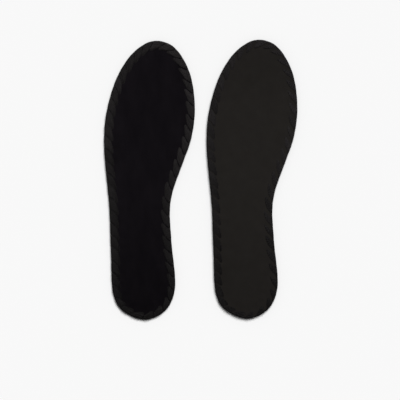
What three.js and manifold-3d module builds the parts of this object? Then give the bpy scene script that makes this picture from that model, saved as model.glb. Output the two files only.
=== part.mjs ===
// A pair of cushioned insoles that lie side by side, toes towards +Y. The left one has its foot side
// up. The right one is turned over, sole side up, so both show the arch towards +X. Each is a stack
// of bottom lining, foam and top cover, held all round its edge by overcast yarn. Sizes are in
// millimetres, and the origin is the centre of the pair, on the surface that it lies on.

import * as THREE from 'three';
import { mergeVertices } from 'three/addons/utils/BufferGeometryUtils.js';
import Module from 'manifold-3d';

// Plan of one insole, seen as both lie here.
const INSOLE_LENGTH = 270;
const INSOLE_WIDTH = 88;
const CENTRE_SPACING = 99; // from the centre of one insole to the centre of the other, along X
const RIGHT_AHEAD = 1; // how far the right insole lies ahead of the left one, along Y

// Overcast yarn: bundles that lean ahead clockwise as they run from the foot side out to the edge.
const BUNDLES = 51;
const BUNDLE_LEAN = 8.9; // how far round the edge a bundle runs on each face
const LEAN_POWER = 1.8; // bundles leave the edge square to it and sweep round further in
const GROOVE = 0.35; // depth between one bundle and the next
const OUTLINE_STEPS = 2 * BUNDLES; // corners in each outline: one on each bundle and one between

// Layers in the middle of an insole, from the sole side to the foot side.
const LINING_THICKNESS = 0.8;
const FOAM_THICKNESS = 2.9;
const COVER_THICKNESS = 1.1;
const GLUE_FILM = 0.1;
const INSOLE_HEIGHT = LINING_THICKNESS + FOAM_THICKNESS + COVER_THICKNESS + 2 * GLUE_FILM;

// The stitched border, where the yarn squeezes the same layers thinner.
const YARN_THICKNESS = 0.8;
const YARN_CLEARANCE = 0.1;
const BORDER_LINING = 0.5;
const BORDER_FOAM = 0.9;
const BORDER_COVER = 0.6;
const BORDER_WIDTH = 8.3;
const SLOPE_WIDTH = 6.5; // over which the layers rise from the border to full thickness

// The line that an insole bends along runs between the two widest points of the forefoot.
const BEND_OUTER = new THREE.Vector2(-44, 36);
const BEND_INNER = new THREE.Vector2(44, 65);
const BEND_GAP = 0.3;
const HALVES = [['rearfoot', -1], ['forefoot', 1]]; // and the side of the line that each lies on

const YARN_COLOUR = 0x1e1c1e;
const COVER_COLOUR = 0x111012;
const FOAM_COLOUR = 0x2a2a2c;
const LINING_COLOUR = 0x211f1d;

// Places on the edge, clockwise from the tip of the toes, joined by one smooth closed curve.
const OUTLINE_PLACES = [
  [4, 135], // toe tip
  [22, 130.5],
  [38, 107], // big toe
  [44, 71], // inner ball
  [40.5, 40.5],
  [33, 18.5],
  [22.5, -11.5],
  [20, -29], // arch
  [21.5, -59],
  [24.5, -107], // inner heel
  [15.5, -126],
  [-4, -135], // back of the heel
  [-26, -126],
  [-34, -112.5], // outer heel
  [-37, -67.5],
  [-38.5, -26.5],
  [-43.5, 35.5], // outer ball
  [-41, 66.5],
  [-29.5, 103], // little toe
  [-13.5, 125.5],
];

const wasm = await Module();
wasm.setup();

const places = OUTLINE_PLACES.map(([x, y]) => new THREE.Vector3(x, y, 0));
const edge = new THREE.CatmullRomCurve3(places, true, 'centripetal');
edge.arcLengthDivisions = 20 * OUTLINE_STEPS;
const edgeBox = new THREE.Box3().setFromPoints(edge.getSpacedPoints(OUTLINE_STEPS));

// A ring at an inset from the edge and a height above the sole side, each corner a distance along
// the edge from its even place. It is fitted to the insole's length and width about its centre.
function ringAt(inset, height, along = 0) {
  const size = edgeBox.getSize(new THREE.Vector3());
  const centre = edgeBox.getCenter(new THREE.Vector3());
  return Array.from({ length: OUTLINE_STEPS }, (_, i) => {
    const part = THREE.MathUtils.euclideanModulo(i / OUTLINE_STEPS + along / edge.getLength(), 1);
    const point = edge.getPointAt(part);
    const forward = edge.getTangentAt(part);
    // the points run clockwise, so inwards is to the right
    return new THREE.Vector3(
      (point.x - centre.x) * INSOLE_WIDTH / size.x + forward.y * inset,
      (point.y - centre.y) * INSOLE_LENGTH / size.y - forward.x * inset,
      height,
    );
  });
}

// Rings of equal point counts, each joined to the next by a band of triangles.
function bands(rings, closed) {
  const count = rings[0].length;
  const faces = [];
  const last = closed ? rings.length : rings.length - 1;
  for (let ring = 0; ring < last; ring += 1) {
    const low = ring * count;
    const high = ((ring + 1) % rings.length) * count;
    for (let i = 0; i < count; i += 1) {
      const j = (i + 1) % count;
      faces.push([low + i, high + i, high + j], [low + i, high + j, low + j]);
    }
  }
  return faces;
}

// Flat lids on the first and last rings.
function lids(rings) {
  const count = rings[0].length;
  const lastStart = (rings.length - 1) * count;
  const lid = (ring) => THREE.ShapeUtils.triangulateShape(
    ring.map((point) => new THREE.Vector2(point.x, point.y)),
    [],
  );
  const facesUp = (ring, [a, b, c]) => {
    const ab = ring[b].clone().sub(ring[a]);
    const ac = ring[c].clone().sub(ring[a]);
    return ab.x * ac.y - ab.y * ac.x > 0;
  };
  const turned = (face, flip) => (flip ? [face[0], face[2], face[1]] : face);
  const first = rings[0];
  const last = rings.at(-1);
  return [
    ...lid(first).map((face) => turned(face, facesUp(first, face))),
    ...lid(last).map((face) => turned(face, !facesUp(last, face)).map((i) => i + lastStart)),
  ];
}

function geometryOf(rings, faces) {
  const geometry = new THREE.BufferGeometry();
  const numbers = rings.flat().flatMap((point) => [point.x, point.y, point.z]);
  geometry.setAttribute('position', new THREE.Float32BufferAttribute(numbers, 3));
  geometry.setIndex(faces.flat());
  return geometry;
}

// A layer that is flat in the middle and pressed thinner along its border.
function layerGeometry(border, middle) {
  const start = YARN_THICKNESS + YARN_CLEARANCE;
  const full = BORDER_WIDTH + SLOPE_WIDTH;
  const rings = [
    ringAt(full, middle.low),
    ringAt(BORDER_WIDTH, border.low),
    ringAt(start, border.low),
    ringAt(start, border.high),
    ringAt(BORDER_WIDTH, border.high),
    ringAt(full, middle.high),
  ];
  return geometryOf(rings, [...bands(rings, false), ...lids(rings)]);
}

// A ring whose corners are in turn on a bundle and in the groove beside it.
function ridged(bundles, grooves) {
  return bundles.map((point, i) => (i % 2 === 0 ? point : grooves[i]));
}

// The yarn lies on both faces of the border and round its edge, as a channel open to the inside.
// The hand is 1, or -1 for a piece that is made to be turned over, so that both lean the same way.
function yarnGeometry(low, high, hand) {
  const reach = BORDER_WIDTH - YARN_CLEARANCE;
  const round = YARN_THICKNESS / 2;
  const lean = (inset) => hand * BUNDLE_LEAN * (inset / BORDER_WIDTH) ** LEAN_POWER;
  const lowFace = (inset) => ridged(
    ringAt(inset, low, lean(inset)),
    ringAt(inset, low + GROOVE, lean(inset)),
  );
  const highFace = (inset) => ridged(
    ringAt(inset, high, -lean(inset)),
    ringAt(inset, high - GROOVE, -lean(inset)),
  );
  const side = (height) => ridged(ringAt(0, height), ringAt(GROOVE / 2, height));
  const rings = [
    ringAt(reach, low + YARN_THICKNESS, lean(reach)),
    lowFace(reach),
    lowFace(reach / 2),
    lowFace(round),
    side(low + round),
    side(high - round),
    highFace(round),
    highFace(reach / 2),
    highFace(reach),
    ringAt(reach, high - YARN_THICKNESS, -lean(reach)),
    ringAt(YARN_THICKNESS, high - YARN_THICKNESS),
    ringAt(YARN_THICKNESS, low + YARN_THICKNESS),
  ];
  return geometryOf(rings, bands(rings, true));
}

// Heights of a stack of layers, each with the glue film between it and the next.
function stacked(start, thicknesses) {
  let height = start;
  return thicknesses.map((thickness) => {
    const layer = { low: height, high: height + thickness };
    height = layer.high + GLUE_FILM;
    return layer;
  });
}

// The four whole pieces of one insole, foot side up, centred on the origin.
function insolePieces(hand) {
  const middle = stacked(0, [LINING_THICKNESS, FOAM_THICKNESS, COVER_THICKNESS]);
  const borderStart = YARN_THICKNESS + YARN_CLEARANCE;
  const border = stacked(borderStart, [BORDER_LINING, BORDER_FOAM, BORDER_COVER]);
  const yarnTop = border.at(-1).high + borderStart;
  return [
    { name: 'bottom_lining', colour: LINING_COLOUR, geometry: layerGeometry(border[0], middle[0]) },
    { name: 'cushion_foam', colour: FOAM_COLOUR, geometry: layerGeometry(border[1], middle[1]) },
    { name: 'top_cover', colour: COVER_COLOUR, geometry: layerGeometry(border[2], middle[2]) },
    { name: 'edge_stitching', colour: YARN_COLOUR, geometry: yarnGeometry(0, yarnTop, hand) },
  ];
}

function solidOf(geometry) {
  const plain = geometry.clone();
  plain.deleteAttribute('normal');
  plain.deleteAttribute('uv');
  const merged = mergeVertices(plain);
  return new wasm.Manifold(new wasm.Mesh({
    numProp: 3,
    vertProperties: new Float32Array(merged.attributes.position.array),
    triVerts: new Uint32Array(merged.index.array),
  }));
}

function geometryFrom(solid) {
  const mesh = solid.getMesh();
  const geometry = new THREE.BufferGeometry();
  geometry.setAttribute('position', new THREE.BufferAttribute(mesh.vertProperties, 3));
  geometry.setIndex(new THREE.BufferAttribute(mesh.triVerts, 1));
  geometry.computeVertexNormals();
  return geometry;
}

// A block that holds everything on one side of the bend line: 1 is the toe side, -1 the heel side.
function bendSide(side) {
  const reach = 2 * INSOLE_LENGTH;
  const across = BEND_INNER.clone().sub(BEND_OUTER);
  const middle = BEND_INNER.clone().add(BEND_OUTER).multiplyScalar(0.5);
  const block = new THREE.BoxGeometry(reach, reach, reach);
  block.translate(0, side * (reach + BEND_GAP) / 2, 0);
  block.rotateZ(across.angle());
  block.translate(middle.x, middle.y, 0);
  return solidOf(block);
}

// Turns a foot-side-up piece over without changing its outline seen from above.
function turnedOver(geometry) {
  const flipped = geometry.clone();
  flipped.scale(1, 1, -1);
  flipped.translate(0, 0, INSOLE_HEIGHT);
  const index = flipped.index.array;
  for (let i = 0; i < index.length; i += 3) {
    [index[i + 1], index[i + 2]] = [index[i + 2], index[i + 1]];
  }
  return flipped;
}

// One insole's pieces, each in a heel part and a toe part, because it bends between them.
function addInsole(pair, side, centre, soleUp) {
  for (const piece of insolePieces(soleUp ? -1 : 1)) {
    const whole = solidOf(soleUp ? turnedOver(piece.geometry) : piece.geometry);
    for (const [half, direction] of HALVES) {
      const material = new THREE.MeshStandardMaterial({ color: piece.colour, roughness: 0.95, metalness: 0 });
      const mesh = new THREE.Mesh(geometryFrom(whole.intersect(bendSide(direction))), material);
      mesh.name = `${side}_${piece.name}_${half}`;
      mesh.position.set(centre.x, centre.y, 0);
      pair.add(mesh);
    }
  }
}

const pair = new THREE.Group();
addInsole(pair, 'left', new THREE.Vector2(-CENTRE_SPACING / 2, -RIGHT_AHEAD / 2), false);
addInsole(pair, 'right', new THREE.Vector2(CENTRE_SPACING / 2, RIGHT_AHEAD / 2), true);

export default pair;
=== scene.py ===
"""The looks of a pair of thin cushioned insoles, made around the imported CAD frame.

Each insole is a stack of lining, foam and velour cover, and its edge is overcast with bundles of
yarn. Lengths inside this file are in millimetres, in a plan that has the insole's centre at (0, 0),
and heights are above the insole's sole side. Insole.to_world() turns both into the frame's metres.
"""

import math

import bpy
import numpy as np
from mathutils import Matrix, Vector
from mathutils.bvhtree import BVHTree
from mathutils.geometry import delaunay_2d_cdt


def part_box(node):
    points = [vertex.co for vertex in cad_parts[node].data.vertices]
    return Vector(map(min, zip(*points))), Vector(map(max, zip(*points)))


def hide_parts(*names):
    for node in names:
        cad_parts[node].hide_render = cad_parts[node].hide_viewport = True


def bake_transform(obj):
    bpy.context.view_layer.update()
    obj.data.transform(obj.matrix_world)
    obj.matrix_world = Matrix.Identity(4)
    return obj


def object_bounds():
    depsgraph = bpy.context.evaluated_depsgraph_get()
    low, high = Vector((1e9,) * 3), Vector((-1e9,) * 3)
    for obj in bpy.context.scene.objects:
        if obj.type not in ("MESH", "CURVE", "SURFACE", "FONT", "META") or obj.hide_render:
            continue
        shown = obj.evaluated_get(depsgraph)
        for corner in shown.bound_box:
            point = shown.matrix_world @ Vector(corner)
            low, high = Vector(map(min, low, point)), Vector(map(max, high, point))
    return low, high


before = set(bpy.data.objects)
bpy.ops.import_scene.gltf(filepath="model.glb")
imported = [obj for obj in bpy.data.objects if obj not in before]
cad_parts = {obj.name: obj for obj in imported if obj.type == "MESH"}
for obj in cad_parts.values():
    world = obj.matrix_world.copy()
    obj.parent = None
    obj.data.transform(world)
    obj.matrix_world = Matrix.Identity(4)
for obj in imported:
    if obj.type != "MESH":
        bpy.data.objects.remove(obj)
cad_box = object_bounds()

MM = 0.001
SEED = 11
HALVES = ("rearfoot", "forefoot")
FOOT_SIDE = 1
SOLE_SIDE = -1

# Places on the edge, clockwise from the tip of the toes, as in the CAD.
OUTLINE_PLACES = [
    (4, 135), (22, 130.5), (38, 107), (44, 71), (40.5, 40.5), (33, 18.5), (22.5, -11.5),
    (20, -29), (21.5, -59), (24.5, -107), (15.5, -126), (-4, -135), (-26, -126), (-34, -112.5),
    (-37, -67.5), (-38.5, -26.5), (-43.5, 35.5), (-41, 66.5), (-29.5, 103), (-13.5, 125.5),
]
CURVE_STEPS = 200  # steps between two places, before the curve is sampled evenly
OUTLINE_SAMPLES = 2400
DIRECTION_SAMPLES = 4  # the edge's direction is taken over this many samples each way

# Heights of both faces of each layer, squeezed along the border and full in the middle.
HEIGHT = 5.0
LINING = {SOLE_SIDE: {"border": 0.9, "middle": 0.0}, FOOT_SIDE: {"border": 1.4, "middle": 0.8}}
FOAM = {SOLE_SIDE: {"border": 1.5, "middle": 0.9}, FOOT_SIDE: {"border": 2.4, "middle": 3.8}}
COVER = {SOLE_SIDE: {"border": 2.5, "middle": 3.9}, FOOT_SIDE: {"border": 3.1, "middle": 5.0}}
OUTER_FACES = {SOLE_SIDE: LINING[SOLE_SIDE], FOOT_SIDE: COVER[FOOT_SIDE]}

# Depths from the edge at which the layers end and slope, and their rounded cut edge.
BORDER_WIDTH = 8.3
SLOPE_START = 7.6
SLOPE_END = 16.0
PUCKER = 1.6  # how much further in the slope starts at a stitch than between stitches
LAYER_EDGE = 0.9  # how far inside the yarn's outside the layers end
EDGE_ROUNDING = 0.25
ROUNDING_WIDTH = 0.9

# How the soft layers swell between the stitches that hold them, worked out as cloth under pressure.
SWELLING = {SOLE_SIDE: 0.2, FOOT_SIDE: 0.45}  # the most that each outer face may swell
HELD_DEPTH = 7.0  # the yarn holds everything nearer the edge than this
STITCH_HOLD_DEPTH = 9.6  # and, as far in as this, what is near a bundle's inner end
STITCH_HOLD = 2.2
SWELL_RING_DEPTH = 8.6  # the simulated sheet has a second ring of points here, inside the held one
SWELL_RING_SPACING = 2.0
SWELL_SPACING = 3.0
SWELL_PRESSURE = 12.0
SWELL_STIFFNESS = 5.0
SWELL_FRAMES = 20
RAY_START = 10.0  # a height above every swelling

# Overcast stitching: bundles of strands that lean forward as they run out to the edge.
BUNDLES = 51
STRANDS = 10
PITCH_JITTER = 0.09  # how unevenly they are spaced, as a share of their pitch
LEAN = 8.9  # how far along the edge a bundle has drifted at the border's inner side
LEAN_POWER = 1.8  # above 1, so that it drifts more and more on its way in

# How much of its stretch of the edge a bundle covers, from the loosest bundle to the tightest.
EDGE_SHARE = 0.99  # at the very edge, down to EDGE_DEPTH
EDGE_DEPTH = 0.6
WAIST_DEPTH = 3.0  # where the bundle is narrowest on the foot side
LOOSE_SHARE = 0.93  # at the waist
TIGHT_SHARE = 0.83
FAN_GAIN = 0.05  # and how much of it the bundle gains again further in
FAN_LENGTH = 3.5
LOOSE_SOLE_SHARE = 0.86  # on the sole side, where the yarn is drawn together
TIGHT_SOLE_SHARE = 0.52
TIGHT_SPREAD = 0.3  # how unevenly the stitches are pulled

# Where a bundle's inner end is.
END_REACH = 1.2  # how far its middle strands reach past the border,
HEEL_SHORTENING = 2.0  # less this much round the heel,
HEEL_START = 0.25  # which starts this far behind the middle, as a share of the length,
HEEL_END = 0.5  # and is complete this far behind it
LOOSE_ROUNDNESS = 0.9  # how much shorter its outer strands are, in the loosest bundle
TIGHT_ROUNDNESS = 1.7

# How unevenly the yarn has taken the dye, and the painted light on the bundles towards the right.
SHADE_SPREAD = 0.16
STRAND_SHADE_SPREAD = 0.12
TIGHT_PAINTED_LIGHT = 0.32  # painted light: how much lighter the tightest bundles, which lie mostly on the right, are than the loosest

# The strands' thickness and their way from the foot side round the edge to the sole side.
YARN_HALF_HEIGHT = 0.36
SOLE_YARN_HALF_HEIGHT = 0.24
SETTLING = 0.85  # how high a strand's middle lies over the cloth, as a share of its half height
CROWN = 0.9  # how much higher a bundle's middle strands lie than its outer ones
SOLE_CROWN = 0.44
RUN_POWER = 1.2  # crowds a strand's rings towards its inner end
DIVE_LENGTH = 3.0  # the stretch over which a strand goes down to its hole
DIVE_DEPTH = 1.5
DIVE_POWER = 1.5
TURN_DEPTH = 1.5  # where a strand leaves the flat of the border and starts round the edge
TURN_POWER = 0.8  # below 1, so that the turn is fuller than a half circle
TURN_SETTLING = 0.87  # how far inside the outline its middle stays, as a share of its half height
EDGE_GROOVE = 0.12  # how much further inside a bundle's outer strands stay
STRAND_SHIFT = 0.12  # how unevenly the strands lie, along the edge and into the cloth
STRAND_SINK = 0.08
STRAND_OVERLAP = 0.62  # a strand's half width, as a share of the space between strands
THINNEST = 0.25  # limits to that half width
THICKEST = 0.8
TIP_TAPER = 0.35  # how thick a strand's last ring is, and the one before it
NEXT_TAPER = 0.8

# The strands' mesh: rings along each face and round the edge, and points round each ring.
RUN_STEPS = 11
TURN_STEPS = 6
STRAND_SIDES = 6

# The layers' mesh: rings of points that follow the edge, and a triangular grid inside them.
RING_STEPS = BUNDLES * 12  # twelve points for each bundle, so that the puckers are smooth
RING_DEPTHS = [
    LAYER_EDGE, 1.2, 1.8, 2.9, 4.4, 5.9, 7.1, 8.1, 8.9, 9.5, 10.1, 10.7, 11.4, 12.4, 13.7, 15.4,
]
CORE_SPACING = 3.0
GRID_HALF_WIDTH = 60  # more than half of an insole's size, so that the grid covers all of it
GRID_HALF_LENGTH = 150
GRID_CLEARANCE = 0.6  # how far the grid stays from the last ring, as a share of its spacing
INSIDE_ONLY = 1  # delaunay_2d_cdt's output type for the triangles inside the border
SAME_POINT = 1e-6  # points nearer to each other than this count as one

# Lengths that count as 1 in the materials' patterns, in a layer's plan and along a strand.
LAYER_PATTERN = 100.0
STRAND_PATTERN = 10.0
PATTERN_SHIFT = 1.37  # from strand to strand, so that their colours differ
NOISE_ROUGHNESS = 0.55
RAMP_RANGE = (0.3, 0.7)  # the pattern values that get a finish's darkest and lightest colour

# Painted sheen: the velour's colour is lightened on the slopes along the left, where its pile catches the
# light.
PAINTED_PILE_SHEEN = 0.15
PILE_FULL_DEPTH = 8.0  # the painted sheen is complete as far in as this
PILE_FADED_DEPTH = 26.0  # and gone from here on

# Camera, in metres: straight down, framed as wide as the view is across at the insoles.
VIEW_WIDTH = 0.3867
CAMERA_HEIGHT = 3.0
AIM_RIGHT = -0.0007
AIM_BELOW_CENTRE = 0.0195
SENSOR_WIDTH = 36.0  # in millimetres, as Blender takes it

# Studio: a wide paper floor, in metres, under an even sky and one soft sun.
FLOOR_SIZE = 8
SKY_STRENGTH = 0.2
SUN_STRENGTH = 3.03
SUN_SPREAD = 34  # in degrees
SUN_TOWARDS = (-0.22, -0.5, -1.0)


def smoothstep(x):
    """Eases from 0 to 1 as x goes from 0 to 1."""
    t = np.clip(x, 0.0, 1.0)
    return t * t * (3.0 - 2.0 * t)


def mix(first, second, share):
    return first + (second - first) * share


def unit(vectors):
    return vectors / np.linalg.norm(vectors, axis=-1)[..., None]


def closed_curve(places, steps):
    """A closed centripetal Catmull-Rom curve through the places."""
    places = np.array(places, float)
    count = len(places)
    t = np.arange(steps)[:, None] / steps
    stretches = []
    for i in range(count):
        p0, p1, p2, p3 = (places[(i + k) % count] for k in (-1, 0, 1, 2))
        a, b, c = (math.sqrt(math.dist(*pair)) for pair in ((p0, p1), (p1, p2), (p2, p3)))
        leave = ((p1 - p0) / a - (p2 - p0) / (a + b) + (p2 - p1) / b) * b
        arrive = ((p2 - p1) / b - (p3 - p1) / (b + c) + (p3 - p2) / c) * b
        stretches.append(
            (2 * t**3 - 3 * t**2 + 1) * p1 + (t**3 - 2 * t**2 + t) * leave
            + (3 * t**2 - 2 * t**3) * p2 + (t**3 - t**2) * arrive
        )
    return np.concatenate(stretches)


class Edge:
    """An insole's edge, seen from above.

    A place is given by how far along the edge it is, clockwise from the tip of the toes, and by its
    depth, which is how far inwards it is.
    """

    def __init__(self, width, length):
        rough = closed_curve(OUTLINE_PLACES, CURVE_STEPS)
        low, high = rough.min(0), rough.max(0)
        rough = (rough - (low + high) / 2) * [width, length] / (high - low)
        closed = np.vstack([rough, rough[:1]])
        steps = np.linalg.norm(np.diff(closed, axis=0), axis=1)
        travelled = np.concatenate([[0.0], np.cumsum(steps)])
        self.length = travelled[-1]
        self.step = self.length / OUTLINE_SAMPLES
        even = np.arange(OUTLINE_SAMPLES) * self.step
        self.points = np.column_stack([np.interp(even, travelled, closed[:, k]) for k in (0, 1)])
        ahead = np.roll(self.points, -DIRECTION_SAMPLES, 0)
        behind = np.roll(self.points, DIRECTION_SAMPLES, 0)
        self.forward = unit(ahead - behind)
        self.inward = np.column_stack([self.forward[:, 1], -self.forward[:, 0]])

    def between(self, table, along):
        """A table's value at any distance along, from the two samples beside it."""
        place = np.asarray(along, float) / self.step
        before = np.floor(place).astype(int)
        share = (place - before)[..., None]
        earlier = table[before % OUTLINE_SAMPLES]
        later = table[(before + 1) % OUTLINE_SAMPLES]
        return earlier * (1 - share) + later * share

    def at(self, along, depth):
        return self.between(self.points, along) + self.inwards(along) * np.asarray(depth)[..., None]

    def inwards(self, along):
        return self.between(self.inward, along)

    def forwards(self, along):
        return self.between(self.forward, along)

    def locate(self, places):
        """How far along each place is, and its depth, which is negative outside the edge."""
        along = np.zeros(len(places))
        depth = np.zeros(len(places))
        for i, place in enumerate(places):
            offset = place - self.points
            nearest = int((offset**2).sum(1).argmin())
            along[i] = nearest * self.step
            depth[i] = offset[nearest] @ self.inward[nearest]
        return along, depth


class Insole:
    """Where one insole lies, which way up, and how its stitches are spaced and pulled."""

    def __init__(self, side, sole_up, seed):
        self.side = side
        self.sole_up = sole_up
        # every seam was sewn the same way round, so a turned-over insole leans the other way in its plan
        self.turn = -1.0 if sole_up else 1.0
        boxes = [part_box(f"{side}_edge_stitching_{half}") for half in HALVES]
        low = np.min([box[0] for box in boxes], axis=0)
        high = np.max([box[1] for box in boxes], axis=0)
        self.centre = (low + high) / 2
        self.width, self.length, _ = (high - low) / MM
        self.edge = Edge(self.width, self.length)
        self.random = np.random.default_rng(seed)
        self.space_bundles()
        self.pull_bundles()

    def space_bundles(self):
        """Sets the middle and the width of each bundle's stretch of the edge."""
        self.pitch = self.edge.length / BUNDLES
        jitter = self.random.uniform(-PITCH_JITTER, PITCH_JITTER, BUNDLES)
        starts = (np.arange(BUNDLES) + jitter) * self.pitch
        ends = np.append(starts[1:], starts[0] + self.edge.length)
        self.bundle_places = (starts + ends) / 2
        self.bundle_widths = ends - starts

    def pull_bundles(self):
        """Sets how each bundle looks from how tightly it was pulled and from where it is."""
        x, y = self.edge.at(self.bundle_places, np.zeros(BUNDLES)).T
        # the seam was pulled tighter towards the right of the plan than towards its left
        right = x / self.width + 0.5
        tight = np.clip(right + self.random.uniform(-TIGHT_SPREAD, TIGHT_SPREAD, BUNDLES), 0, 1)
        self.bundle_shares = mix(LOOSE_SHARE, TIGHT_SHARE, tight)
        self.bundle_sole_shares = mix(LOOSE_SOLE_SHARE, TIGHT_SOLE_SHARE, tight)
        self.bundle_roundness = mix(LOOSE_ROUNDNESS, TIGHT_ROUNDNESS, tight)
        heel = smoothstep((-y / self.length - HEEL_START) / (HEEL_END - HEEL_START))
        self.bundle_reach = BORDER_WIDTH + END_REACH - HEEL_SHORTENING * heel
        self.bundle_dye_and_painted_light = 1 + self.random.uniform(-SHADE_SPREAD, SHADE_SPREAD, BUNDLES)
        # painted light: the tight bundles, mostly on the right, are lightened as if lit from the right
        self.bundle_dye_and_painted_light += TIGHT_PAINTED_LIGHT * (tight - 0.5)

    def to_world(self, plan, height):
        """Plan places and heights above the sole side, in millimetres, as points of the frame."""
        height = np.broadcast_to(np.asarray(height, float), plan.shape[:-1])
        up = HEIGHT - height if self.sole_up else height
        x = self.centre[0] + plan[..., 0] * MM
        y = self.centre[1] + plan[..., 1] * MM
        return np.stack([x, y, up * MM], axis=-1)

    def bodies(self):
        return [f"{self.side}_{half}" for half in HALVES]


def mesh_object(name, points, faces, uv=None):
    mesh = bpy.data.meshes.new(name)
    mesh.from_pydata(points.tolist(), [], faces)
    if uv is not None:
        layer = mesh.uv_layers.new(name="plan")
        corners = np.zeros(len(mesh.loops), int)
        mesh.loops.foreach_get("vertex_index", corners)
        layer.data.foreach_set("uv", uv[corners].ravel())
    mesh.polygons.foreach_set("use_smooth", [True] * len(mesh.polygons))
    mesh.update()
    piece = bpy.data.objects.new(name, mesh)
    bpy.context.scene.collection.objects.link(piece)
    return piece


def shade_points(piece, shares):
    """Tells a piece's material by how much to multiply its colour at each point, for uneven dye and
    painted light.
    """
    shade = piece.data.attributes.new("shade", "FLOAT", "POINT")
    shade.data.foreach_set("value", shares)


# ---------------------------------------------------------------- layers


def flat_plan(edge, ring_depths, ring_steps, spacing):
    """Points and triangles seen from above, with each point's place along and in from the edge.

    Rings of points follow the edge at the given depths, and a triangular grid fills what they leave.
    """
    along = np.arange(ring_steps) / ring_steps * edge.length
    rings = [edge.at(along, np.full(ring_steps, depth)) for depth in ring_depths]
    rows = np.arange(-GRID_HALF_LENGTH, GRID_HALF_LENGTH, spacing * math.sqrt(0.75))
    grid = np.array([
        (x + (row % 2) * spacing / 2, y)
        for row, y in enumerate(rows)
        for x in np.arange(-GRID_HALF_WIDTH, GRID_HALF_WIDTH, spacing)
    ])
    grid_along, grid_depth = edge.locate(grid)
    inside = grid_depth > ring_depths[-1] + spacing * GRID_CLEARANCE
    points = np.concatenate([*rings, grid[inside]])
    border = [(i, (i + 1) % ring_steps) for i in range(ring_steps)]
    found = delaunay_2d_cdt([Vector(p) for p in points], border, [], INSIDE_ONLY, SAME_POINT)
    return {
        "points": points,
        "along": np.concatenate([np.tile(along, len(rings)), grid_along[inside]]),
        "depth": np.concatenate([np.repeat(ring_depths, ring_steps), grid_depth[inside]]),
        "triangles": [tuple(face) for face in found[2]],
    }


def painted_pile_sheen(insole, plan):
    """Painted sheen: how much lighter the pile is made on the slopes along the left, next to its colour
    in the middle.
    """
    facing_left = np.maximum(insole.edge.inwards(plan["along"])[:, 0], 0.0)
    near_edge = smoothstep((PILE_FADED_DEPTH - plan["depth"]) / (PILE_FADED_DEPTH - PILE_FULL_DEPTH))
    return 1 + PAINTED_PILE_SHEEN * facing_left * near_edge


def bundle_gap(insole, along, side):
    """How far a place along the edge is from the nearest bundle's inner end on one side."""
    inner_ends = insole.bundle_places - side * insole.turn * LEAN
    half = insole.edge.length / 2
    return np.abs((along[:, None] - inner_ends[None, :] + half) % insole.edge.length - half).min(1)


def slope(insole, plan, side):
    """How full the layers are: 0 under the border's stitches, 1 in the middle, puckered between."""
    gap = bundle_gap(insole, plan["along"], side)
    wave = 0.5 * np.cos(np.clip(gap / (insole.pitch / 2), 0, 1) * math.pi)
    start = SLOPE_START + PUCKER * wave
    return smoothstep((plan["depth"] - start) / (SLOPE_END - SLOPE_START))


def blown_up(coarse, start, held):
    """How high a sheet of cloth is after pressure has swollen it, pinned at the held points."""
    points = np.column_stack([coarse["points"], start]) * MM
    sheet = mesh_object("swell", points, coarse["triangles"])
    group = sheet.vertex_groups.new(name="held")
    group.add(np.flatnonzero(held).tolist(), 1.0, "REPLACE")
    cloth = sheet.modifiers.new("cloth", "CLOTH")
    cloth.settings.vertex_group_mass = group.name
    cloth.settings.tension_stiffness = SWELL_STIFFNESS
    cloth.settings.compression_stiffness = SWELL_STIFFNESS
    cloth.settings.use_pressure = True
    cloth.settings.uniform_pressure_force = SWELL_PRESSURE
    cloth.settings.effector_weights.gravity = 0.0
    cloth.point_cache.frame_end = SWELL_FRAMES
    for step in range(1, SWELL_FRAMES + 1):
        bpy.context.scene.frame_set(step)
    swollen = sheet.evaluated_get(bpy.context.evaluated_depsgraph_get())
    heights = np.array([vertex.co.z for vertex in swollen.data.vertices]) / MM
    bpy.context.scene.frame_set(1)
    bpy.data.objects.remove(sheet)
    return heights


def carried_over(coarse, heights, plan):
    """The heights given for a coarse sheet, read off at a finer plan's points."""
    surface_points = np.column_stack([coarse["points"], heights]).tolist()
    surface = BVHTree.FromPolygons(surface_points, coarse["triangles"])
    carried = np.zeros(len(plan["points"]))
    for i, (x, y) in enumerate(plan["points"].tolist()):
        hit = surface.ray_cast((x, y, RAY_START), (0.0, 0.0, -1.0))[0]
        if hit is not None:
            carried[i] = hit.z
    return carried


def swell(insole, plan, side):
    """How far each point of an outer face moves out when the padding presses it against its stitches."""
    most = SWELLING[side]
    # the sheet lies with its outside up, whichever face it stands for
    face = OUTER_FACES[side]
    steps = round(insole.edge.length / SWELL_RING_SPACING)
    coarse = flat_plan(insole.edge, [HELD_DEPTH, SWELL_RING_DEPTH], steps, SWELL_SPACING)
    full_rise = abs(face["middle"] - face["border"]) - most
    start = face["border"] + full_rise * slope(insole, coarse, side)
    near_stitch = bundle_gap(insole, coarse["along"], side) < STITCH_HOLD
    held = (coarse["depth"] <= HELD_DEPTH) | ((coarse["depth"] < STITCH_HOLD_DEPTH) & near_stitch)
    moved = np.maximum(blown_up(coarse, start, held) - start, 0.0)
    return carried_over(coarse, most * np.tanh(moved / most), plan)


def surface_shape(insole, plan, side):
    """The slope of the layers under one surface, and how far swelling takes them from the full height."""
    full = slope(insole, plan, side)
    return {"full": full, "shift": side * (swell(insole, plan, side) - SWELLING[side] * full)}


def face_heights(plan, face, side, shape):
    """Heights of one face of a layer: squeezed along the border, full and swollen in the middle."""
    across_rounding = (plan["depth"] - LAYER_EDGE) / ROUNDING_WIDTH
    rounding = np.clip(1 - across_rounding, 0, 1) ** 2 * EDGE_ROUNDING
    return mix(face["border"], face["middle"], shape["full"]) + shape["shift"] - side * rounding


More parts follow.
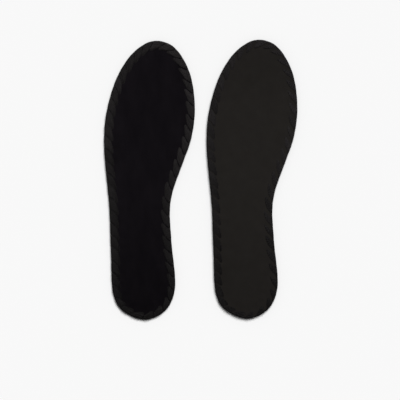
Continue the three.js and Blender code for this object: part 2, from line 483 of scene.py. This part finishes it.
def layer_piece(insole, name, layer, plan, sole_shape, foot_shape):
    """A closed sheet or pad between two faces, each with the shape of the surface that it follows."""
    low = face_heights(plan, layer[SOLE_SIDE], SOLE_SIDE, sole_shape)
    high = face_heights(plan, layer[FOOT_SIDE], FOOT_SIDE, foot_shape)
    count = len(plan["points"])
    points = np.concatenate([insole.to_world(plan["points"], low), insole.to_world(plan["points"], high)])
    top = [(a + count, b + count, c + count) for a, b, c in plan["triangles"]]
    bottom = [(c, b, a) for a, b, c in plan["triangles"]]
    wall = [
        (j, i, i + count, j + count)
        for i, j in ((i, (i + 1) % RING_STEPS) for i in range(RING_STEPS))
    ]
    faces = top + bottom + wall
    if insole.sole_up:
        faces = [face[::-1] for face in faces]
    uv = np.tile(plan["points"] / LAYER_PATTERN, (2, 1))
    return mesh_object(f"{insole.side}_{name}", points, faces, uv)


# ---------------------------------------------------------------- stitching


def joined(foot_run, turn, sole_run):
    """A strand's stretches end to end. Both runs are given from their hole outwards."""
    runs = [np.broadcast_to(run, (BUNDLES, np.shape(run)[-1])) for run in (foot_run, turn, sole_run)]
    return np.concatenate([runs[0], runs[1], runs[2][:, ::-1]], axis=1)


def strand_path(insole, offset):
    """The same strand of every bundle, from its hole on the foot side round the edge to the sole side.

    offset is the strand's place in its bundle, -1 to 1. Each array has a row for each bundle and a
    column for each ring of the tube: how far the strand leads its bundle along the edge, its depth, its
    height, how far its outward side faces inwards and upwards, and half its thickness.
    """
    rounded = 1 - offset**2
    reach = (insole.bundle_reach - insole.bundle_roundness * offset**2)[:, None]
    depth = reach - (reach - TURN_DEPTH) * np.linspace(0, 1, RUN_STEPS) ** RUN_POWER
    dive = DIVE_DEPTH * smoothstep(1 - (reach - depth) / DIVE_LENGTH) ** DIVE_POWER
    foot = COVER[FOOT_SIDE]["border"] + SETTLING * YARN_HALF_HEIGHT + CROWN * rounded - dive
    sole = LINING[SOLE_SIDE]["border"] - SETTLING * SOLE_YARN_HALF_HEIGHT - SOLE_CROWN * rounded + dive
    lead = -insole.turn * LEAN * (depth / BORDER_WIDTH) ** LEAN_POWER

    angle = math.pi * np.arange(1, TURN_STEPS + 1) / (TURN_STEPS + 1)
    outermost = YARN_HALF_HEIGHT * TURN_SETTLING + EDGE_GROOVE * offset**2
    turn_depth = TURN_DEPTH - (TURN_DEPTH - outermost) * np.sin(angle) ** TURN_POWER
    upwards = np.sign(np.cos(angle)) * np.abs(np.cos(angle)) ** TURN_POWER
    turn_height = (foot[:, -1:] * (1 + upwards) + sole[:, -1:] * (1 - upwards)) / 2
    turn_lead = lead[:, -1:] * np.cos(angle)

    run = np.ones(RUN_STEPS)
    turn = np.ones(TURN_STEPS)
    return {
        "lead": joined(lead, turn_lead, -lead),
        "depth": joined(depth, turn_depth, depth),
        "height": joined(foot, turn_height, sole),
        "inwards": joined(0 * run, -np.sin(angle), 0 * run),
        "upwards": joined(run, np.cos(angle), -run),
        "half_height": joined(
            YARN_HALF_HEIGHT * run, YARN_HALF_HEIGHT * turn, SOLE_YARN_HALF_HEIGHT * run),
    }


def bundle_share(insole, path):
    """The share of its stretch of the edge that each bundle covers at each ring of a strand's path."""
    gain = FAN_GAIN * smoothstep((path["depth"] - WAIST_DEPTH) / FAN_LENGTH)
    foot_share = insole.bundle_shares[:, None] + gain
    inner = np.where(path["upwards"] > 0, foot_share, insole.bundle_sole_shares[:, None])
    return mix(EDGE_SHARE, inner, smoothstep((path["depth"] - EDGE_DEPTH) / (WAIST_DEPTH - EDGE_DEPTH)))


def outward_sides(insole, path, along):
    """The directions in which the outward side of a strand faces."""
    upright = -path["upwards"] if insole.sole_up else path["upwards"]
    inwards = insole.edge.inwards(along) * path["inwards"][..., None]
    return unit(np.concatenate([inwards, upright[..., None]], axis=-1))


def strand_rings(insole, offset):
    """The rings of the tubes of one strand of every bundle, and how far along its strand each ring is."""
    path = strand_path(insole, offset)
    half_width = insole.bundle_widths[:, None] * bundle_share(insole, path) / 2
    shift = insole.random.uniform(-STRAND_SHIFT, STRAND_SHIFT, (BUNDLES, 1))
    lift = insole.random.uniform(-STRAND_SINK, 0.0, (BUNDLES, 1)) * path["upwards"]
    along = insole.bundle_places[:, None] + path["lead"] + offset * half_width + shift
    centre = insole.to_world(insole.edge.at(along, path["depth"]), path["height"] + lift)
    normal = outward_sides(insole, path, along)
    side = unit(np.cross(np.gradient(centre, axis=1), normal))

    # the strands lie against each other, so their width follows their spacing across the run
    across_run = np.abs((side[..., :2] * insole.edge.forwards(along)).sum(-1))
    half_thickness = np.clip(2 * half_width / STRANDS * across_run * STRAND_OVERLAP, THINNEST, THICKEST)
    taper = np.ones(centre.shape[1])
    taper[[0, -1]] = TIP_TAPER
    taper[[1, -2]] = NEXT_TAPER
    angles = np.arange(STRAND_SIDES) / STRAND_SIDES * 2 * math.pi
    half_height = path["half_height"] * taper
    rings = (
        centre[..., None, :]
        + side[..., None, :] * (half_thickness * taper)[..., None, None] * np.cos(angles)[:, None] * MM
        + normal[..., None, :] * half_height[..., None, None] * np.sin(angles)[:, None] * MM
    )
    travelled = np.cumsum(np.linalg.norm(np.diff(centre, axis=1), axis=-1), axis=1) / MM
    return rings, np.concatenate([np.zeros((BUNDLES, 1)), travelled], axis=1)


def tube_faces(tubes, rings, sides):
    """Faces of closed tubes whose points come ring by ring."""
    faces = []
    for first in range(0, tubes * rings * sides, rings * sides):
        for low in range(first, first + (rings - 1) * sides, sides):
            for k in range(sides):
                j = (k + 1) % sides
                faces.append((low + k, low + j, low + sides + j, low + sides + k))
        last = first + (rings - 1) * sides
        faces.append(tuple(first + k for k in reversed(range(sides))))
        faces.append(tuple(last + k for k in range(sides)))
    return faces


def stitching_piece(insole):
    """All the yarn round one insole, as closed tubes, one for each strand of each bundle."""
    strands = [strand_rings(insole, (k + 0.5) / STRANDS * 2 - 1) for k in range(STRANDS)]
    rings = np.concatenate([strand[0] for strand in strands])
    travelled = np.concatenate([strand[1] for strand in strands])
    tubes, ring_count, sides, _ = rings.shape
    start = np.arange(tubes)[:, None, None] * PATTERN_SHIFT
    uv = np.stack([
        np.broadcast_to((travelled[..., None] + start) / STRAND_PATTERN, rings.shape[:3]),
        np.broadcast_to(np.arange(sides) / sides, rings.shape[:3]),
    ], axis=-1).reshape(-1, 2)
    faces = tube_faces(tubes, ring_count, sides)
    piece = mesh_object(f"{insole.side}_edge_stitching", rings.reshape(-1, 3), faces, uv)
    uneven = insole.random.uniform(-STRAND_SHADE_SPREAD, STRAND_SHADE_SPREAD, tubes)
    # each point's share holds its bundle's uneven dye and painted light
    shade_points(piece, np.repeat(np.tile(insole.bundle_dye_and_painted_light, STRANDS) + uneven, ring_count * sides))
    return piece


# ---------------------------------------------------------------- materials


class Finish:
    """A material while it is being made. Its methods add nodes and return the socket of the result."""

    def __init__(self, name):
        self.material = bpy.data.materials.new(name)
        self.material.use_nodes = True
        self.tree = self.material.node_tree
        self.shader = self.tree.nodes["Principled BSDF"]

    def node(self, kind, linked, values=None, **settings):
        """Adds a node with its settings, its sockets' values, and links to its other sockets."""
        node = self.tree.nodes.new(f"ShaderNode{kind}")
        for setting, value in settings.items():
            setattr(node, setting, value)
        for socket, value in (values or {}).items():
            node.inputs[socket].default_value = value
        for socket, source in linked.items():
            self.tree.links.new(source, node.inputs[socket])
        return node

    def plan(self):
        return self.node("UVMap", {}, uv_map="plan").outputs["UV"]

    def stretched(self, vector, u, v):
        return self.node("Mapping", {"Vector": vector}, {"Scale": (u, v, 1.0)}).outputs["Vector"]

    def noise(self, vector, scale, detail):
        values = {"Scale": scale, "Detail": detail, "Roughness": NOISE_ROUGHNESS}
        return self.node("TexNoise", {"Vector": vector}, values).outputs["Fac"]

    def mixed(self, first, second, share):
        """The first pattern's share and the rest of the second one."""
        parts = [
            self.node("Math", {0: pattern}, {1: part}, operation="MULTIPLY").outputs[0]
            for pattern, part in ((first, share), (second, 1 - share))
        ]
        return self.node("Math", {0: parts[0], 1: parts[1]}, operation="ADD").outputs[0]

    def ramp(self, pattern, dark, light):
        node = self.node("ValToRGB", {"Fac": pattern})
        for element, place, colour in zip(node.color_ramp.elements, RAMP_RANGE, (dark, light)):
            element.position = place
            element.color = (*colour, 1)
        return node.outputs["Color"]

    def scaled(self, colour, factor):
        node = self.node("VectorMath", {0: colour, "Scale": factor}, operation="SCALE")
        return node.outputs["Vector"]

    def shaded(self, colour):
        """Multiplies a colour by the shares that shade_points() gave to the piece, which hold uneven dye
        and painted light.
        """
        shade = self.node("Attribute", {}, attribute_name="shade")
        return self.scaled(colour, shade.outputs["Fac"])

    def fade(self, colour, share, full, end):
        """Painted shade: dulls a colour to a share of itself at one end of the insole, where less light
        falls.

        full is how far from the heel the whole effect reaches and end is where it stops, both as
        shares of the insole's length. It works towards the toes when full is the larger.
        """
        place = self.node("TexCoord", {}).outputs["Generated"]
        from_heel = self.node("SeparateXYZ", {0: place}).outputs["Y"]
        values = {"From Min": full, "From Max": end, "To Min": share}
        node = self.node("MapRange", {"Value": from_heel}, values, interpolation_type="SMOOTHSTEP")
        return self.scaled(colour, node.outputs["Result"])

    def bump(self, height, distance):
        values = {"Distance": distance, "Strength": 1.0}
        return self.node("Bump", {"Height": height}, values).outputs["Normal"]

    def finished(self, colour, normal, values):
        """The material, with its colour and bump in place and its shader's other sockets set."""
        self.tree.links.new(colour, self.shader.inputs["Base Color"])
        self.tree.links.new(normal, self.shader.inputs["Normal"])
        for socket, value in values.items():
            self.shader.inputs[socket].default_value = value
        return self.material


def velour_material():
    """Short dense pile that traps nearly all light, with painted shade towards the heel."""
    finish = Finish("velour_pile")
    plan = finish.plan()
    brushed = finish.noise(finish.stretched(plan, 2.0, 0.8), scale=4.0, detail=4.0)
    pile = finish.noise(plan, scale=220.0, detail=2.0)
    pattern = finish.mixed(brushed, pile, share=0.6)
    colour = finish.ramp(pattern, dark=(0.0033, 0.0027, 0.0036), light=(0.0063, 0.0052, 0.0066))
    # painted shade: the colour is darkened towards the heel, where less light falls
    colour = finish.fade(finish.shaded(colour), share=0.66, full=0.0, end=0.48)
    return finish.finished(colour, finish.bump(pile, distance=0.12 * MM), {
        "Roughness": 1.0,
        "Specular IOR Level": 0.02,
        "Sheen Weight": 0.02,
        "Sheen Roughness": 0.5,
    })


def felt_material():
    """Thin needled lining, slightly warm charcoal, with painted shade towards the heel and the toe."""
    finish = Finish("felt_lining")
    plan = finish.plan()
    cloudy = finish.noise(plan, scale=9.0, detail=5.0)
    fibres = finish.noise(finish.stretched(plan, 1.0, 2.2), scale=130.0, detail=3.0)
    pattern = finish.mixed(cloudy, fibres, share=0.4)
    colour = finish.ramp(pattern, dark=(0.0120, 0.0107, 0.0097), light=(0.0168, 0.0152, 0.0138))
    # painted shade: darker towards the heel and the toe, where less light falls
    colour = finish.fade(colour, share=0.83, full=0.05, end=0.55)
    colour = finish.fade(colour, share=0.9, full=0.92, end=0.74)
    return finish.finished(colour, finish.bump(fibres, distance=0.08 * MM), {
        "Roughness": 0.95,
        "Specular IOR Level": 0.03,
    })


def foam_material():
    """Fine open cells."""
    finish = Finish("foam_cells")
    cells = finish.node("TexVoronoi", {"Vector": finish.plan()}, {"Scale": 160.0}).outputs["Distance"]
    colour = finish.ramp(cells, dark=(0.006, 0.006, 0.0062), light=(0.016, 0.016, 0.0165))
    return finish.finished(colour, finish.bump(cells, distance=0.2 * MM), {
        "Roughness": 0.95,
        "Specular IOR Level": 0.05,
    })


def yarn_material():
    """Soft twisted yarn with a slight sheen, with painted shade towards the heel."""
    finish = Finish("twisted_yarn")
    plan = finish.plan()
    plies = finish.node(
        "TexWave", {"Vector": finish.stretched(plan, 2.6, 1.257)}, {"Scale": 1.0, "Distortion": 0.6},
        wave_type="BANDS", bands_direction="DIAGONAL")
    uneven = finish.noise(finish.stretched(plan, 2.5, 1.0), scale=1.0, detail=3.0)
    fuzz = finish.noise(finish.stretched(plan, 12.0, 6.0), scale=2.0, detail=3.0)
    pattern = finish.mixed(uneven, fuzz, share=0.5)
    colour = finish.ramp(pattern, dark=(0.0064, 0.0057, 0.0058), light=(0.0185, 0.0162, 0.0168))
    # painted shade towards the heel, on top of the shares of uneven dye and painted light
    colour = finish.fade(finish.shaded(colour), share=0.4, full=0.0, end=0.75)
    return finish.finished(colour, finish.bump(plies.outputs["Fac"], distance=0.1 * MM), {
        "Roughness": 0.45,
        "Specular IOR Level": 0.05,
        "Sheen Weight": 0.03,
        "Sheen Roughness": 0.4,
    })


# ---------------------------------------------------------------- the pair


def insole_area(insole):
    """The flat area of a layer's cut, in square metres."""
    along = np.arange(OUTLINE_SAMPLES) * insole.edge.step
    x, y = insole.edge.at(along, np.full(OUTLINE_SAMPLES, LAYER_EDGE)).T * MM
    return abs(float(np.sum(x * np.roll(y, -1) - y * np.roll(x, -1)))) / 2


def attach(insole, piece, part, material):
    """Gives a piece its finish and hides the CAD nodes that it stands for."""
    piece.data.materials.append(material)
    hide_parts(*(f"{insole.side}_{part}_{half}" for half in HALVES))
    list(insole.bodies())
    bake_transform(piece)


def make_insole(insole, materials):
    plan = flat_plan(insole.edge, RING_DEPTHS, RING_STEPS, CORE_SPACING)
    area = insole_area(insole)
    foot = surface_shape(insole, plan, FOOT_SIDE)
    sole = surface_shape(insole, plan, SOLE_SIDE)
    lining = layer_piece(insole, "bottom_lining", LINING, plan, sole, sole)
    foam = layer_piece(insole, "cushion_foam", FOAM, plan, sole, foot)
    cover = layer_piece(insole, "top_cover", COVER, plan, foot, foot)
    # painted sheen on the cover's slopes along the left
    shade_points(cover, np.tile(painted_pile_sheen(insole, plan), 2))
    yarn = stitching_piece(insole)
    attach(insole, lining, "bottom_lining", materials["felt"])
    attach(insole, foam, "cushion_foam", materials["foam"])
    attach(insole, cover, "top_cover", materials["velour"])
    attach(insole, yarn, "edge_stitching", materials["yarn"])


# ---------------------------------------------------------------- studio


def make_floor():
    bpy.ops.mesh.primitive_plane_add(size=FLOOR_SIZE)
    floor = bpy.context.object
    floor.name = "floor"
    paper = Finish("floor_paper")
    paper.shader.inputs["Base Color"].default_value = (0.9, 0.9, 0.9, 1)
    paper.shader.inputs["Roughness"].default_value = 1.0
    paper.shader.inputs["Specular IOR Level"].default_value = 0.0
    floor.data.materials.append(paper.material)


def make_light():
    world = bpy.data.worlds.new("studio")
    bpy.context.scene.world = world
    world.use_nodes = True
    sky = world.node_tree.nodes["Background"]
    sky.inputs["Color"].default_value = (1, 1, 1, 1)
    sky.inputs["Strength"].default_value = SKY_STRENGTH
    sun = bpy.data.lights.new("key", "SUN")
    sun.energy = SUN_STRENGTH
    sun.angle = math.radians(SUN_SPREAD)
    lamp = bpy.data.objects.new("key", sun)
    bpy.context.scene.collection.objects.link(lamp)
    lamp.rotation_euler = Vector(SUN_TOWARDS).to_track_quat("-Z", "Y").to_euler()


def make_camera():
    low, high = cad_box
    centre = (Vector(low) + Vector(high)) / 2
    data = bpy.data.cameras.new("camera")
    data.sensor_width = SENSOR_WIDTH
    data.lens = SENSOR_WIDTH * CAMERA_HEIGHT / VIEW_WIDTH
    camera = bpy.data.objects.new("camera", data)
    bpy.context.scene.collection.objects.link(camera)
    camera.location = (centre.x + AIM_RIGHT, centre.y - AIM_BELOW_CENTRE, CAMERA_HEIGHT)
    bpy.context.scene.camera = camera


make_camera()
make_floor()
make_light()
bpy.context.scene.view_settings.view_transform = "Standard"
MATERIALS = {
    "velour": velour_material(),
    "felt": felt_material(),
    "foam": foam_material(),
    "yarn": yarn_material(),
}
make_insole(Insole("left", sole_up=False, seed=SEED), MATERIALS)
make_insole(Insole("right", sole_up=True, seed=SEED + 1), MATERIALS)
